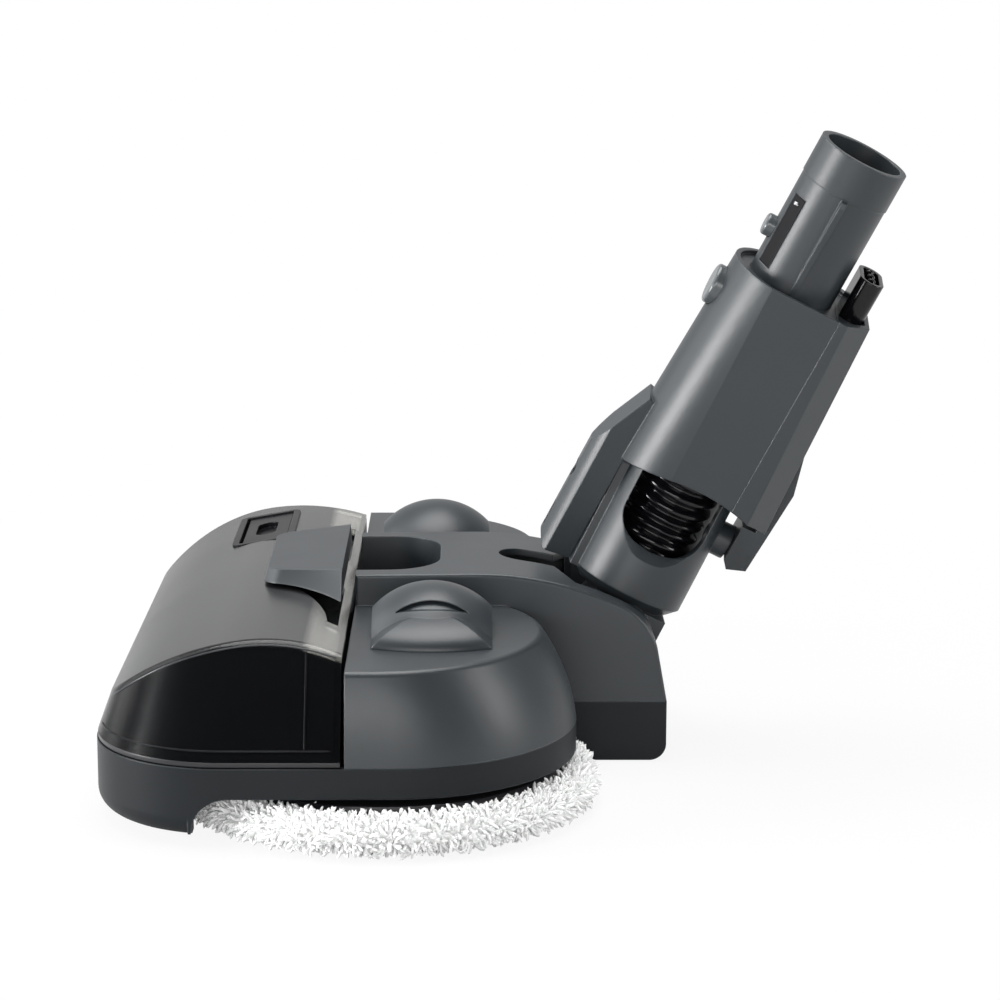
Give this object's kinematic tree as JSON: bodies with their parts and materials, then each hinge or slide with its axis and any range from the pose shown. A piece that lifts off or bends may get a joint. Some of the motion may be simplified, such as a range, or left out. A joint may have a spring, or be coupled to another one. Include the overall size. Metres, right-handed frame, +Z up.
{
  "type": "wet dry floor scrubber head",
  "caption": "Wet and dry floor scrubber head with twin rotating mop pads, a smoked lift-off water tank and a pitching, swivelling neck that ends in a wand spigot and plug.",
  "frame": {"origin": "on the floor under the middle of the box that holds the whole object", "axes": "-X to the front of the head, +Y to its far side, +Z up"},
  "size_m": [0.2761, 0.295, 0.2234],
  "materials": {
    "slate_plastic": "satin moulded slate grey",
    "smoked_plastic": "clear moulding with a smoke tint",
    "black_plastic": "moulded black",
    "black_rubber": "soft black",
    "steel": "plain",
    "brass": "plain",
    "gear_plastic": "natural acetal",
    "microfibre": "white chenille pile",
    "circuit_board": "green lacquer"
  },
  "bodies": {
    "head": {"tray": "slate_plastic", "tray_screws": "steel", "upper_cover": "slate_plastic", "near_dome": "slate_plastic", "far_dome": "slate_plastic", "near_motor": "steel", "far_motor": "steel", "near_bush": "brass", "far_bush": "brass", "air_duct": "black_plastic", "intake_lip": "black_rubber", "roller_axle": "steel", "near_drip_nozzle": "black_plastic", "far_drip_nozzle": "black_plastic", "water_pump": "black_plastic", "control_board": "circuit_board"},
    "near_disc": {"near_spindle": "steel", "near_wheel_gear": "gear_plastic", "near_pad_plate": "black_plastic", "near_mop_pad": "microfibre"},
    "far_disc": {"far_spindle": "steel", "far_wheel_gear": "gear_plastic", "far_pad_plate": "black_plastic", "far_mop_pad": "microfibre"},
    "near_rotor": {"near_pinion": "gear_plastic"},
    "far_rotor": {"far_pinion": "gear_plastic"},
    "roller": {"rear_roller": "black_rubber"},
    "tank": {"tank_shell": "smoked_plastic", "tank_tub": "black_plastic", "inlet_riser": "black_plastic", "tank_divider": "black_plastic", "outlet_seal": "black_rubber", "grip_lugs": "black_plastic", "grip_pin": "steel", "filler_frame": "black_plastic", "lid_pin": "steel"},
    "grip": {"tank_grip": "slate_plastic"},
    "lid": {"filler_lid": "black_plastic"},
    "lower_neck": {"knuckle": "slate_plastic", "near_trunnion": "steel", "far_trunnion": "steel", "flex_hose": "black_rubber"},
    "upper_neck": {"neck_housing": "slate_plastic", "neck_rear_cover": "slate_plastic", "front_swivel_pin": "steel", "rear_swivel_pin": "steel", "spigot_tube": "slate_plastic", "hose_adapter": "black_plastic", "contact_strip": "black_plastic", "plug_housing": "black_plastic", "plug_pins": "brass"},
    "button": {"release_button": "slate_plastic"},
    "catch": {"wand_catch": "slate_plastic"}
  },
  "joints": [
    {"name": "near_pad_spin", "type": "hinge", "parent": "head", "child": "near_disc", "pos_m": [-0.04, -0.075, 0], "axis": [0, 0, 1], "continuous": true},
    {"name": "near_pinion_spin", "type": "hinge", "parent": "head", "child": "near_rotor", "pos_m": [-0.0244, -0.06994, 0.034], "axis": [0, 0, 1], "continuous": true},
    {"name": "far_pad_spin", "type": "hinge", "parent": "head", "child": "far_disc", "pos_m": [-0.04, 0.075, 0], "axis": [0, 0, 1], "continuous": true},
    {"name": "far_pinion_spin", "type": "hinge", "parent": "head", "child": "far_rotor", "pos_m": [-0.0244, 0.06994, 0.034], "axis": [0, 0, 1], "continuous": true},
    {"name": "roller_spin", "type": "hinge", "parent": "head", "child": "roller", "pos_m": [0.046, 0, 0.0065], "axis": [0, 1, 0], "continuous": true},
    {"name": "tank_lift", "type": "slide", "parent": "head", "child": "tank", "axis": [0, 0, 1], "range_m": [0, 0.06]},
    {"name": "grip_hinge", "type": "hinge", "parent": "tank", "child": "grip", "pos_m": [-0.0805, 0, 0.0673], "axis": [0, -1, 0], "range_deg": [0, 8]},
    {"name": "lid_hinge", "type": "hinge", "parent": "tank", "child": "lid", "pos_m": [-0.09716, 0.0715, 0.05946], "axis": [0, -1, 0], "range_deg": [0, 80]},
    {"name": "neck_pitch", "type": "hinge", "parent": "head", "child": "lower_neck", "pos_m": [0.0405, 0, 0.041], "axis": [0, 1, 0], "range_deg": [-4, 48]},
    {"name": "neck_swivel", "type": "hinge", "parent": "lower_neck", "child": "upper_neck", "pos_m": [0.06147, 0, 0.08306], "axis": [0.8949, 0, -0.4462], "range_deg": [-51, 29], "deforming": ["flex_hose"]},
    {"name": "button_press", "type": "slide", "parent": "upper_neck", "child": "button", "axis": [0.8949, 0, -0.4462], "range_m": [0, 0.002], "stiffness_N_per_m": 400},
    {"name": "catch_press", "type": "slide", "parent": "upper_neck", "child": "catch", "axis": [0.8949, 0, -0.4462], "range_m": [0, 0.0018], "stiffness_N_per_m": 300}
  ],
  "couplings": [
    {"joint": "near_pinion_spin", "follows": "near_pad_spin", "ratio": -1.05},
    {"joint": "far_pinion_spin", "follows": "far_pad_spin", "ratio": -1.05}
  ]
}
